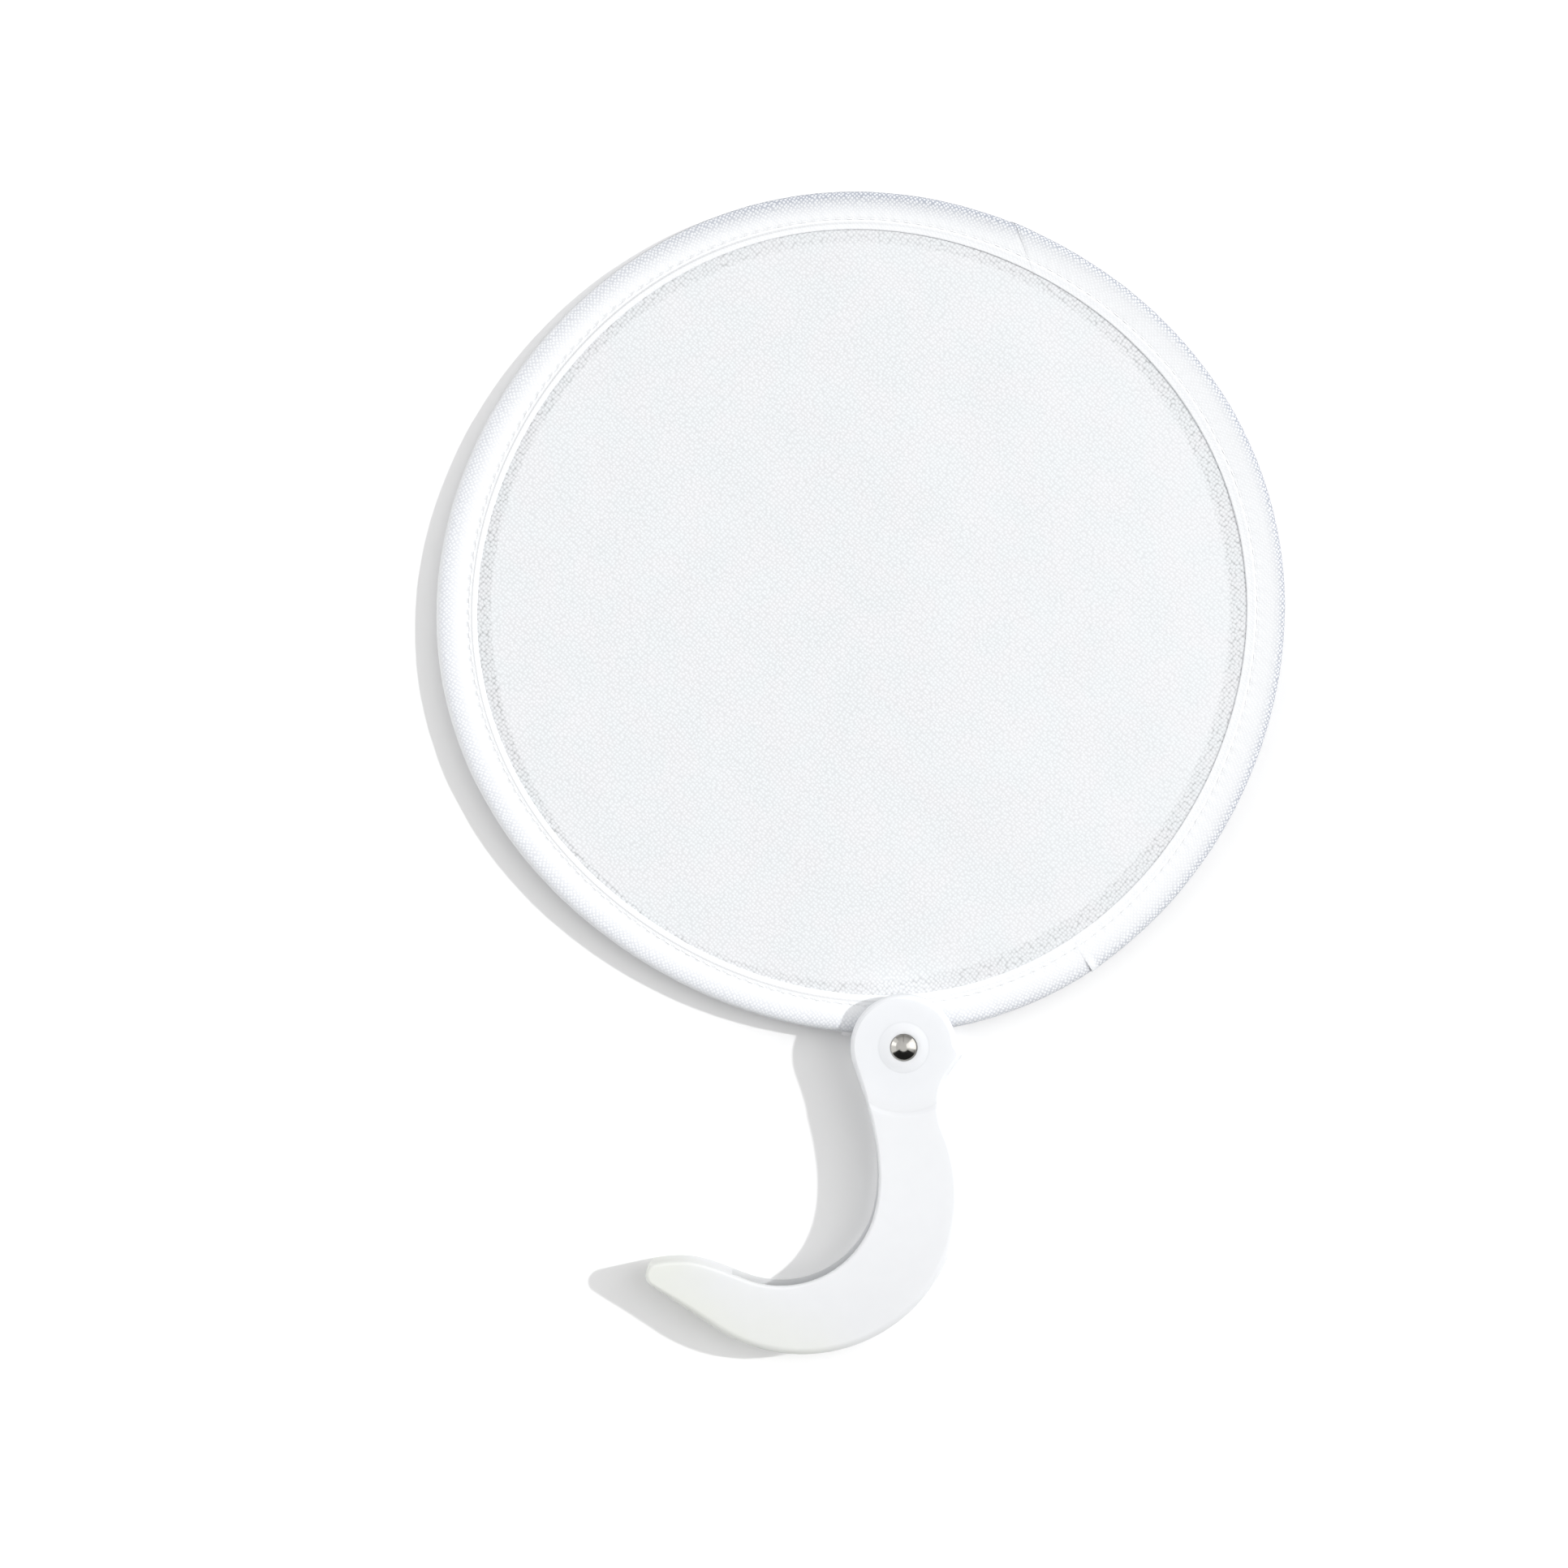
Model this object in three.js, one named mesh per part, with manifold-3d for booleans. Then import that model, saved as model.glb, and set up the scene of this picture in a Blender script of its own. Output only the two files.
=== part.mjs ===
// Round folding fan: a cloth leaf sprung open by a steel hoop, riveted into a hooked channel handle.
// It lies face up. +Z is up, +Y runs from the rivet to the middle of the leaf, sizes are millimetres.
import * as THREE from 'three';
import * as BufferGeometryUtils from 'three/addons/utils/BufferGeometryUtils.js';
import Module from 'manifold-3d';

const wasm = await Module();
wasm.setup();

// Clearances
const restingGap = 0.3;
const clothGap = 0.2;
const hoopGap = 0.2;
const slitGap = 0.4;

// Handle outline: circles placed from the rivet, angles in degrees counter-clockwise from +X,
// pulls are how far a soft curve keeps the direction of the circle that it leaves
const bossRadius = 15.6;
const gripOuter = { x: -33.7, y: -40.8, radius: 46.5 };
const gripInner = { x: -39.7, y: -38.1, radius: 28.4 };
const hookBack = { angle: -129.4, length: 21.95 };
const tipRadius = 3.6;
const waistRadius = 17.2;
const neck = { bossAngle: 195, bossPull: 13, gripAngle: -20, gripPull: 15 };
const hump = { gripAngle: -115, gripPull: 11, tipAngle: 95, tipPull: 12 };
const stopLug = { reach: 17.7, angle: -12, rootAngle: 1 };
const channelEnd = { webAngle: -133, mouthAngle: -125 };

// Handle depths and walls
const handleDepth = 15;
const bossDepth = 13;
const bossStepRadius = 19.2;
const edgeRound = 1.2;
const webWall = 1.6;
const gripCheek = 1.5;
const bossCheek = 2;
const cheekStepRadius = 17.4;

// Raised pads outside and spacers inside the boss cheeks, round the rivet
const padRadius = 7.4;
const padTopRadius = 5.4;
const padHeight = 0.9;
const seatDepth = 0.8;
const spacerWall = 1.4;

// Rivet
const capRadius = 4.1;
const capHeight = 1.8;
const capWall = 0.4;
const capRim = 0.3;
const socketWall = 0.5;
const socketLength = 1.8;
const postRadius = 1.4;
const studHeadHeight = 0.5;
const studHeadRound = 0.25;

// Leaf: its rim's clearance to the spacers, and how far the cloth runs past the stitching
const leafRadius = 124.3;
const rimClearance = 1;
const leafCloth = 0.4;
const leafTuck = 2;

// Hem: a tape folded over the hoop, its two lips sewn together through the leaf cloth
const tapeCloth = 0.35;
const hemHeight = 5.2;
const hemWidth = 10.7;
const lipWidth = 3.2;
const crownSetBack = 1.6;
const hemWallHeight = 2.6;
const lowerJoinAngle = -62.8;
const upperJoinAngle = 63.8;
const joinGap = 0.3;

// Spring hoop: a flat strip on edge, its two ends held in the root clip
const stripWidth = 2.7;
const stripThickness = 0.4;
const hoopSetBack = 1.45;
const hoopEndGap = 1.5;

// The sewn hoop springs a little out of round: waves with a number of lobes, a height and an angle
const hoopWaves = [
  { lobes: 2, height: 0.84, angle: -34 },
  { lobes: 3, height: 0.63, angle: 53.1 },
  { lobes: 4, height: 0.85, angle: 9.3 },
];

// Root clip: a sheet folded round the strip, its two legs pressed together as a flange with an eye
const clipSheet = 0.4;
const clipPinch = 1.2;
const clipHalfLength = 17.6;
const clipShoulder = 1.3;
const eyeRadius = 4.6;
const eyeFlare = 2;
const eyeFlareDrop = 1;
const eyeStartAngle = 20;

// Fineness of round forms
const ringSteps = 120;
const turnSteps = 28;
const arcStep = 7.5;
const leastArcSteps = 3;
const blendSteps = 8;
const roundSteps = 3;
const domeSteps = 4;
const tapeSteps = { outerSlope: 3, innerSlope: 2, corner: 2 };
const weldDistance = 1e-4;

const { degToRad, radToDeg } = THREE.MathUtils;

// Shared shapes

function pointOn(circle, angle) {
  const x = circle.x + circle.radius * Math.cos(degToRad(angle));
  const y = circle.y + circle.radius * Math.sin(degToRad(angle));
  return new THREE.Vector2(x, y);
}

function angleTo(from, to) {
  return radToDeg(Math.atan2(to.y - from.y, to.x - from.x));
}

function arc(circle, from, to) {
  const steps = Math.max(leastArcSteps, Math.ceil(Math.abs(to - from) / arcStep));
  return Array.from({ length: steps + 1 }, (_, i) => pointOn(circle, from + ((to - from) * i) / steps));
}

// The inner points of a soft curve between two points with given headings
function softCurve(start, startHeading, startPull, end, endHeading, endPull) {
  const leaving = pointOn({ ...start, radius: startPull }, startHeading);
  const landing = pointOn({ ...end, radius: endPull }, endHeading + 180);
  return new THREE.CubicBezierCurve(start, leaving, landing, end).getPoints(blendSteps).slice(1, -1);
}

// A flat plate with rounded edges, centred on z = 0
function plate(outline, depth, round = 0) {
  const geometry = new THREE.ExtrudeGeometry(new THREE.Shape(outline), {
    depth: depth - 2 * round,
    bevelEnabled: round > 0,
    bevelThickness: round,
    bevelSize: round,
    bevelOffset: -round,
    bevelSegments: roundSteps,
  });
  return geometry.translate(0, 0, round - depth / 2);
}

// A form turned about the Z axis from [radius, height] pairs, outside upwards
function turned(profile, steps = turnSteps) {
  const points = profile.map(([radius, height]) => new THREE.Vector2(radius, height));
  return new THREE.LatheGeometry(points, steps).rotateX(Math.PI / 2);
}

function cylinder(radius, bottom, top) {
  return turned([[0, bottom], [radius, bottom], [radius, top], [0, top]]);
}

// A cutter over a plan outline, taller than every piece
function prism(outline) {
  return plate(outline, cutterDepth);
}

// A closed mesh as a solid: corners welded, triangles that shrank to a line on the axis left out
function toSolid(geometry) {
  const bare = geometry.clone();
  bare.deleteAttribute('normal');
  bare.deleteAttribute('uv');
  const merged = BufferGeometryUtils.mergeVertices(bare, weldDistance);
  const corners = Array.from(merged.index.array);
  const kept = corners.filter((_, i) => {
    const [a, b, c] = corners.slice(i - (i % 3), i - (i % 3) + 3);
    return a !== b && b !== c && c !== a;
  });
  const vertProperties = new Float32Array(merged.attributes.position.array);
  const triVerts = new Uint32Array(kept);
  return new wasm.Manifold(new wasm.Mesh({ numProp: 3, vertProperties, triVerts }));
}

function fromSolid(solid) {
  const mesh = solid.getMesh();
  const geometry = new THREE.BufferGeometry();
  geometry.setAttribute('position', new THREE.BufferAttribute(mesh.vertProperties, 3));
  geometry.setIndex(new THREE.BufferAttribute(mesh.triVerts, 1));
  geometry.computeVertexNormals();
  return geometry;
}

// Handle

const cutterDepth = 4 * handleDepth;
const boss = { x: 0, y: 0, radius: bossRadius };
const bossFace = bossDepth / 2;
const padFace = bossFace + padHeight;
const seatRadius = capRadius + restingGap;
const seatFace = padFace - seatDepth;
const clevisHeight = bossDepth - 2 * bossCheek;
const channelHeight = handleDepth - 2 * gripCheek;
const boreRadius = postRadius + restingGap;
const socketRadius = boreRadius + socketWall;
const spacerRadius = socketRadius + spacerWall;
const spacerFace = clipSheet + restingGap;
const padRound = padHeight / 3;

// The circle that touches the boss and the grip from outside and draws the waist in
function waistCircle() {
  const bossReach = bossRadius + waistRadius;
  const gripReach = gripOuter.radius + waistRadius;
  const span = Math.hypot(gripOuter.x, gripOuter.y);
  const opening = Math.acos((bossReach ** 2 + span ** 2 - gripReach ** 2) / (2 * bossReach * span));
  const centre = pointOn({ ...boss, radius: bossReach }, angleTo(boss, gripOuter) + radToDeg(opening));
  return { x: centre.x, y: centre.y, radius: waistRadius };
}

const waist = waistCircle();
const waistTop = angleTo(waist, boss);
const waistLow = angleTo(waist, gripOuter) + 360;

// The straight back of the hook leaves the grip's arc and ends in the round of the tip
function hookTipCircle() {
  const foot = pointOn({ ...gripOuter, radius: gripOuter.radius - tipRadius }, hookBack.angle);
  const centre = pointOn({ x: foot.x, y: foot.y, radius: hookBack.length }, hookBack.angle - 90);
  return { x: centre.x, y: centre.y, radius: tipRadius };
}

// Once round the handle, counter-clockwise from the stop lug
function handleOutline() {
  const neckTop = pointOn(boss, neck.bossAngle);
  const neckLow = pointOn(gripInner, neck.gripAngle);
  const humpFoot = pointOn(gripInner, hump.gripAngle);
  const hookTip = hookTipCircle();
  const humpTop = pointOn(hookTip, hump.tipAngle);
  return [
    pointOn({ ...boss, radius: stopLug.reach }, stopLug.angle),
    ...arc(boss, stopLug.rootAngle, neck.bossAngle),
    ...softCurve(neckTop, neck.bossAngle + 90, neck.bossPull, neckLow, neck.gripAngle - 90, neck.gripPull),
    ...arc(gripInner, neck.gripAngle, hump.gripAngle),
    ...softCurve(humpFoot, hump.gripAngle - 90, hump.gripPull, humpTop, hump.tipAngle + 90, hump.tipPull),
    ...arc(hookTip, hump.tipAngle, hookBack.angle + 360),
    ...arc(gripOuter, hookBack.angle, waistLow - 180),
    ...arc(waist, waistLow, waistTop).slice(1),
  ];
}

// The space between the cheeks: it follows the web and is open to the hook, the neck and the boss,
// so its other sides lie well clear of the handle
function channelOutline() {
  const webInWaist = { ...waist, radius: waist.radius + webWall };
  const webInGrip = { ...gripOuter, radius: gripOuter.radius - webWall };
  const webEnd = pointOn(webInWaist, waistTop);
  const reach = 3 * bossRadius;
  return [
    ...arc(webInWaist, waistTop, waistLow),
    ...arc(webInGrip, waistLow - 180, channelEnd.webAngle).slice(1),
    pointOn(gripInner, channelEnd.mouthAngle),
    new THREE.Vector2(gripInner.x, gripInner.y),
    new THREE.Vector2(gripInner.x, reach),
    pointOn({ x: webEnd.x, y: webEnd.y, radius: reach }, waistTop - 90),
  ].reverse();
}

// One face of the boss: a raised pad with a seat for the rivet, on a cheek with a spacer behind it
function padAndSpacer() {
  const padRoot = bossFace - bossCheek / 2;
  return turned([
    [0, spacerFace],
    [spacerRadius, spacerFace],
    [spacerRadius, padRoot],
    [padRadius, padRoot],
    [padRadius, bossFace + padRound],
    [padRadius - padRound, bossFace + 2 * padRound],
    [padTopRadius, padFace],
    [0, padFace],
  ]);
}

function makeHandle() {
  const outline = handleOutline();
  const overStep = toSolid(cylinder(bossStepRadius, -handleDepth, handleDepth));
  const inStep = toSolid(cylinder(bossStepRadius + edgeRound, -handleDepth, handleDepth));
  const grip = toSolid(plate(outline, handleDepth, edgeRound)).subtract(overStep);
  const bossPlate = toSolid(plate(outline, bossDepth, edgeRound)).intersect(inStep);
  const cheekStep = toSolid(cylinder(cheekStepRadius, -handleDepth, handleDepth));
  const channel = toSolid(plate(channelOutline(), channelHeight)).subtract(cheekStep);
  const clevis = toSolid(plate(channelOutline(), clevisHeight));
  const face = toSolid(padAndSpacer());
  const seat = toSolid(cylinder(seatRadius, seatFace, handleDepth));
  const socketBore = toSolid(cylinder(socketRadius + restingGap, seatFace - socketLength, handleDepth));
  const bore = toSolid(cylinder(boreRadius, -handleDepth, handleDepth));
  return grip.add(bossPlate)
    .subtract(channel)
    .subtract(clevis)
    .add(face)
    .add(face.mirror([0, 0, 1]))
    .subtract(seat)
    .subtract(seat.mirror([0, 0, 1]))
    .subtract(socketBore)
    .subtract(bore);
}

// Rivet

// Domed cap: a shell whose rim is turned in to a short socket that grips the post
function makeRivetCap() {
  const rimFace = seatFace + restingGap;
  const innerRadius = capRadius - capWall;
  const domeStart = rimFace + capRim;
  const dome = (radius, height) => Array.from({ length: domeSteps + 1 }, (_, i) => [
    radius * Math.cos((i / domeSteps) * (Math.PI / 2)),
    domeStart + height * Math.sin((i / domeSteps) * (Math.PI / 2)),
  ]);
  const rise = capHeight - capRim;
  const hollow = dome(innerRadius, rise - capWall).reverse();
  return toSolid(turned([
    ...hollow.slice(0, -1),
    [innerRadius, rimFace + capWall],
    [boreRadius, rimFace + capWall],
    [boreRadius, seatFace - socketLength + restingGap],
    [socketRadius, seatFace - socketLength + restingGap],
    [socketRadius, rimFace],
    [capRadius, rimFace],
    ...dome(capRadius, rise),
  ]));
}

// Flat-headed stud: its post runs up through both cheeks and the eye into the cap
function makeRivetStud() {
  const headTop = -(seatFace + restingGap);
  const headBottom = headTop - studHeadHeight;
  const postTop = seatFace + restingGap;
  return toSolid(turned([
    [0, headBottom],
    [capRadius - studHeadRound, headBottom],
    [capRadius, headBottom + studHeadRound],
    [capRadius, headTop],
    [postRadius, headTop],
    [postRadius, postTop],
    [0, postTop],
  ]));
}

// Leaf: turned about its own middle, then sprung out of round

const hemHalf = hemHeight / 2;
const lipInside = leafCloth / 2 + clothGap;
const stitchRadius = leafRadius - hemWidth + lipWidth;
const hoopRadius = leafRadius - hoopSetBack;
const rivetToLeafCentre = spacerRadius + rimClearance + leafRadius;

function sprung(geometry) {
  const position = geometry.attributes.position;
  for (let i = 0; i < position.count; i += 1) {
    const x = position.getX(i);
    const y = position.getY(i);
    const angle = Math.atan2(y, x);
    const swell = hoopWaves.reduce(
      (sum, wave) => sum + wave.height * Math.cos(wave.lobes * (angle - degToRad(wave.angle))),
      0,
    );
    const scale = 1 + swell / leafRadius;
    position.setXY(i, x * scale, y * scale);
  }
  return geometry;
}

function makeLeafCloth() {
  const radius = stitchRadius + leafTuck;
  const half = leafCloth / 2;
  return toSolid(sprung(turned([[0, -half], [radius, -half], [radius, half], [0, half]], ringSteps)));
}

// The upper half of the tape's section, from lip to outer wall, set in by part of its thickness
function tapeHalf(inset, slopeSteps, cornerSteps) {
  const lip = lipInside + tapeCloth - inset;
  const crown = { radius: leafRadius - crownSetBack, height: hemHalf - inset };
  const points = [[leafRadius - hemWidth, lip]];
  for (let i = 0; i < slopeSteps; i += 1) {
    const along = i / slopeSteps;
    const rise = Math.sin((along * Math.PI) / 2);
    const radius = stitchRadius + along * (crown.radius - stitchRadius);
    points.push([radius, lip + rise * (crown.height - lip)]);
  }
  for (let i = 0; i <= cornerSteps; i += 1) {
    const turn = (i / cornerSteps) * (Math.PI / 2);
    const radius = crown.radius + (crownSetBack - inset) * Math.sin(turn);
    const drop = (crown.height - hemWallHeight / 2) * (1 - Math.cos(turn));
    points.push([radius, crown.height - drop]);
  }
  return points;
}

function mirrored(points) {
  return points.map(([radius, height]) => [radius, -height]);
}

// The whole hem as one ring, with a slit in its outer wall where the clip's flange comes out
function makeTapeRing() {
  const outside = tapeHalf(0, tapeSteps.outerSlope, tapeSteps.corner);
  const inside = tapeHalf(tapeCloth, tapeSteps.innerSlope, tapeSteps.corner);
  const loop = [
    ...mirrored(outside),
    ...outside.reverse(),
    ...inside,
    ...mirrored(inside).reverse(),
  ];
  const ring = toSolid(sprung(turned([...loop, loop[0]], ringSteps)));
  const rimDrop = leafRadius - Math.sqrt(leafRadius ** 2 - clipHalfLength ** 2);
  const slitLength = 2 * (clipHalfLength + restingGap);
  const slitDepth = 2 * (rimDrop + crownSetBack);
  const slit = new THREE.BoxGeometry(slitLength, slitDepth, 2 * (clipSheet + slitGap));
  return ring.subtract(toSolid(slit.translate(0, -leafRadius, 0)));
}

// A cutter over the sector between two angles, half the join's gap short of both
function sector(from, to) {
  const reach = 2 * leafRadius;
  const trim = radToDeg(joinGap / 2 / leafRadius);
  const rim = { x: 0, y: 0, radius: reach };
  return toSolid(prism([new THREE.Vector2(0, 0), ...arc(rim, from + trim, to - trim)]));
}

function makeHoop() {
  const half = { radius: stripThickness / 2, height: stripWidth / 2 };
  const inner = hoopRadius - half.radius;
  const outer = hoopRadius + half.radius;
  const profile = [
    [inner, -half.height],
    [outer, -half.height],
    [outer, half.height],
    [inner, half.height],
    [inner, -half.height],
  ];
  const ends = new THREE.BoxGeometry(hoopEndGap, 2 * hemWidth, 2 * hemHeight);
  return toSolid(sprung(turned(profile, ringSteps))).subtract(toSolid(ends.translate(0, -hoopRadius, 0)));
}

// Plan of the clip, measured from the rivet: shoulders along the hem and an eye round the rivet
function clipPlan() {
  const shoulderRadius = leafRadius + clipShoulder;
  const shoulderDrop = shoulderRadius - Math.sqrt(shoulderRadius ** 2 - clipHalfLength ** 2);
  const shoulder = rivetToLeafCentre - shoulderRadius + shoulderDrop;
  const eye = { x: 0, y: 0, radius: eyeRadius };
  const flare = eyeRadius + eyeFlare;
  return [
    new THREE.Vector2(-clipHalfLength, hemWidth + shoulder),
    new THREE.Vector2(-clipHalfLength, shoulder),
    new THREE.Vector2(-flare, shoulder - eyeFlareDrop),
    ...arc(eye, 180 + eyeStartAngle, 360 - eyeStartAngle),
    new THREE.Vector2(flare, shoulder - eyeFlareDrop),
    new THREE.Vector2(clipHalfLength, shoulder),
    new THREE.Vector2(clipHalfLength, hemWidth + shoulder),
  ];
}

// The folded section, turned about the leaf's middle and trimmed to its plan
function makeRootClip() {
  const innerHalf = stripWidth / 2 + hoopGap;
  const outerHalf = innerHalf + clipSheet;
  const foldInside = hoopRadius - stripThickness / 2 - hoopGap;
  const foldOutside = foldInside - clipSheet;
  const leg = hoopRadius + stripThickness / 2 + hoopGap;
  const pinch = hoopRadius + clipPinch;
  const flangeEnd = rivetToLeafCentre + 2 * eyeRadius;
  const outside = turned([
    [foldOutside, -outerHalf],
    [leg, -outerHalf],
    [pinch, -clipSheet],
    [flangeEnd, -clipSheet],
    [flangeEnd, clipSheet],
    [pinch, clipSheet],
    [leg, outerHalf],
    [foldOutside, outerHalf],
    [foldOutside, -outerHalf],
  ], ringSteps);
  const hollow = turned([
    [foldInside, -innerHalf],
    [leg, -innerHalf],
    [pinch - clipSheet, 0],
    [leg, innerHalf],
    [foldInside, innerHalf],
    [foldInside, -innerHalf],
  ], ringSteps);
  const plan = prism(clipPlan()).translate(0, -rivetToLeafCentre, 0);
  const eye = cylinder(boreRadius, -handleDepth, handleDepth).translate(0, -rivetToLeafCentre, 0);
  return toSolid(sprung(outside))
    .subtract(toSolid(sprung(hollow)))
    .intersect(toSolid(plan))
    .subtract(toSolid(eye));
}

// Assembly

function piece(name, solid, color, roughness, metalness = 0) {
  const material = new THREE.MeshStandardMaterial({ color, roughness, metalness });
  const mesh = new THREE.Mesh(fromSolid(solid), material);
  mesh.name = name;
  return mesh;
}

const handle = new THREE.Group();
handle.position.z = handleDepth / 2;
handle.add(
  piece('handle', makeHandle(), '#f3f3f1', 0.45),
  piece('rivet_cap', makeRivetCap(), '#b9b9bb', 0.15, 1),
  piece('rivet_stud', makeRivetStud(), '#b9b9bb', 0.25, 1),
);

// The leaf leans from the middle of the clevis down to its far rim, which rests on the ground
const tapeRing = makeTapeRing();
const leaf = new THREE.Group();
leaf.add(
  piece('root_clip', makeRootClip(), '#9a9b9d', 0.35, 1),
  piece('spring_hoop', makeHoop(), '#77787a', 0.4, 1),
  piece('leaf_fabric', makeLeafCloth(), '#f1f2f4', 0.9),
  piece('binding_long', tapeRing.intersect(sector(upperJoinAngle, lowerJoinAngle + 360)), '#f6f7fa', 0.7),
  piece('binding_short', tapeRing.intersect(sector(lowerJoinAngle, upperJoinAngle)), '#f6f7fa', 0.7),
);
leaf.children.forEach((mesh) => mesh.position.setY(rivetToLeafCentre));
leaf.position.z = handleDepth / 2;
leaf.rotation.x = -Math.asin((handleDepth / 2 - hemHalf) / (rivetToLeafCentre + leafRadius - crownSetBack));

// The origin is under the middle of the whole fan, on the ground
const fan = new THREE.Group();
fan.add(handle, leaf);
fan.updateMatrixWorld(true);
const extent = new THREE.Box3().setFromObject(fan, true);
fan.position.set(-(extent.min.x + extent.max.x) / 2, -(extent.min.y + extent.max.y) / 2, -extent.min.z);
fan.updateMatrixWorld(true);

export default fan;
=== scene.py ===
import math

import bpy
import numpy as np
from mathutils import Matrix, Vector, noise


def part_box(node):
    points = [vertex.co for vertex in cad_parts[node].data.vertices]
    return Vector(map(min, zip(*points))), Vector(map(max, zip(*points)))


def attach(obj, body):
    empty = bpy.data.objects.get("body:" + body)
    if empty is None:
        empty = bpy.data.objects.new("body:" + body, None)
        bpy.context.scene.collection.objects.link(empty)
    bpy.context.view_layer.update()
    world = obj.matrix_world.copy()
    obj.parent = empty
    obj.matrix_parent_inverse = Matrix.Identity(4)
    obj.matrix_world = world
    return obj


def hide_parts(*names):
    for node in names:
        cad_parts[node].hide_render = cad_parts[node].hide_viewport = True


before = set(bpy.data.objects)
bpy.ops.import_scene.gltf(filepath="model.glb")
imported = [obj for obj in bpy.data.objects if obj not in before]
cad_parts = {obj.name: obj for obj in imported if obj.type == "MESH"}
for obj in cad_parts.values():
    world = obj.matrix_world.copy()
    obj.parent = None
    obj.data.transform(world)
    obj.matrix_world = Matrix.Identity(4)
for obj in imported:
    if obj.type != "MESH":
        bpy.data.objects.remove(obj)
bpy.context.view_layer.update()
mm = 0.001


# Studio: the fan lies on a white table and is photographed from straight above, a metre up.
# One lamp on the right throws a crisp shadow, and a pale tent with soft boxes on the right and left
# gives the rest. Its near side is darker, as the bright rivet shows.
camera_place = Vector((-27.29, -2.93, 1000)) * mm
camera_turn = math.radians(-5.243)
camera_lens = 77.2
lamp_bearing = math.radians(7.06)
lamp_height = math.radians(38.5)
lamp_width = math.radians(1.6)
lamp_strength = 1.58
tent_overhead = 0.885
tent_low = 0.16
tent_parts = (  # bearing, lowest and highest elevation, half width, strength
    (9, 9, 68, 29, 1.75),
    (180, 1, 45, 55, 1.05),
    (158, 10, 44, 12, 2.0),
    (-95, 3, 62, 60, 0.02),
    (-125, 0, 5, 30, 2.8),
)
side_blur, top_blur = 0.06, 0.04
table_size = 40
table_drop = 0.06 * mm
table_white = (0.95, 0.95, 0.95, 1)
table_glow = 0.035


class Shade:
    """A socket of a material's nodes: arithmetic on it adds Math nodes."""

    def __init__(self, tree, socket=None):
        self.tree = tree
        self.socket = socket

    def node(self, kind, settings=None, inputs=None, output=0):
        """Adds a node, its settings first, then the values or links of its sockets."""
        made = self.tree.nodes.new("ShaderNode" + kind)
        for name, value in (settings or {}).items():
            setattr(made, name, value)
        self.plug(made, inputs or {})
        return Shade(self.tree, made.outputs[output])

    def plug(self, node, inputs):
        """Gives a node's sockets their values or links."""
        for name, value in inputs.items():
            if isinstance(value, Shade):
                self.tree.links.new(value.socket, node.inputs[name])
            else:
                node.inputs[name].default_value = value

    def math(self, operation, *values):
        return self.node("Math", {"operation": operation}, dict(enumerate(values)))

    def __add__(self, other):
        return self.math("ADD", self, other)

    def __sub__(self, other):
        return self.math("SUBTRACT", self, other)

    def __rsub__(self, other):
        return self.math("SUBTRACT", other, self)

    def __mul__(self, other):
        return self.math("MULTIPLY", self, other)

    def __truediv__(self, other):
        return self.math("DIVIDE", self, other)

    def __rtruediv__(self, other):
        return self.math("DIVIDE", other, self)

    def __pow__(self, other):
        return self.math("POWER", self, other)

    def __abs__(self):
        return self.math("ABSOLUTE", self)

    __radd__ = __add__
    __rmul__ = __mul__

    def at_least(self, lowest):
        return self.math("MAXIMUM", self, lowest)

    def at_most(self, highest):
        return self.math("MINIMUM", self, highest)

    def between(self, low, high, at_low=0.0, at_high=1.0):
        """A soft step from at_low to at_high as the value runs from low to high."""
        values = {0: self, 1: low, 2: high, 3: at_low, 4: at_high}
        return self.node("MapRange", {"interpolation_type": "SMOOTHSTEP"}, values)


def new_finish(name):
    """A new material, and a Shade that adds to its nodes."""
    made = bpy.data.materials.new(name)
    made.use_nodes = True
    return made, Shade(made.node_tree)


camera = bpy.data.objects.new("camera", bpy.data.cameras.new("camera"))
camera.data.lens = camera_lens
camera.location = camera_place
camera.rotation_euler = (0, 0, camera_turn)
bpy.context.scene.collection.objects.link(camera)
bpy.context.scene.camera = camera
bpy.context.scene.view_settings.view_transform = "Standard"

lamp = bpy.data.objects.new("lamp", bpy.data.lights.new("lamp", "SUN"))
lamp.data.energy = lamp_strength
lamp.data.angle = lamp_width
lamp.rotation_euler = (0, math.pi / 2 - lamp_height, lamp_bearing)
bpy.context.scene.collection.objects.link(lamp)

tent = bpy.data.worlds.new("tent")
tent.use_nodes = True
bpy.context.scene.world = tent
sky = Shade(tent.node_tree)
gaze = sky.node("TexCoord")
climb = sky.node("SeparateXYZ", None, {0: gaze}, 2)
tent_glow = climb.between(0.0, 1.0, tent_low, tent_overhead)
for bearing, lowest, highest, half_width, strength in tent_parts:
    facing = Matrix.Rotation(math.radians(bearing), 3, "Z")
    ahead = sky.node("VectorMath", {"operation": "DOT_PRODUCT"}, {0: gaze, 1: facing.col[0]}, "Value")
    aside = sky.node("VectorMath", {"operation": "DOT_PRODUCT"}, {0: gaze, 1: facing.col[1]}, "Value")
    spread = abs(aside) / ahead.at_least(0.01)
    edge = math.tan(math.radians(half_width))
    foot = math.sin(math.radians(lowest))
    top = math.sin(math.radians(highest))
    inside = spread.between(edge - side_blur, edge, 1.0, 0.0)
    inside = inside * climb.between(foot - top_blur, foot) * climb.between(top, top + top_blur, 1.0, 0.0)
    tent_glow = tent_glow + inside * (strength - tent_glow)
sky.plug(tent.node_tree.nodes["Background"], {"Color": tent_glow})

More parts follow.
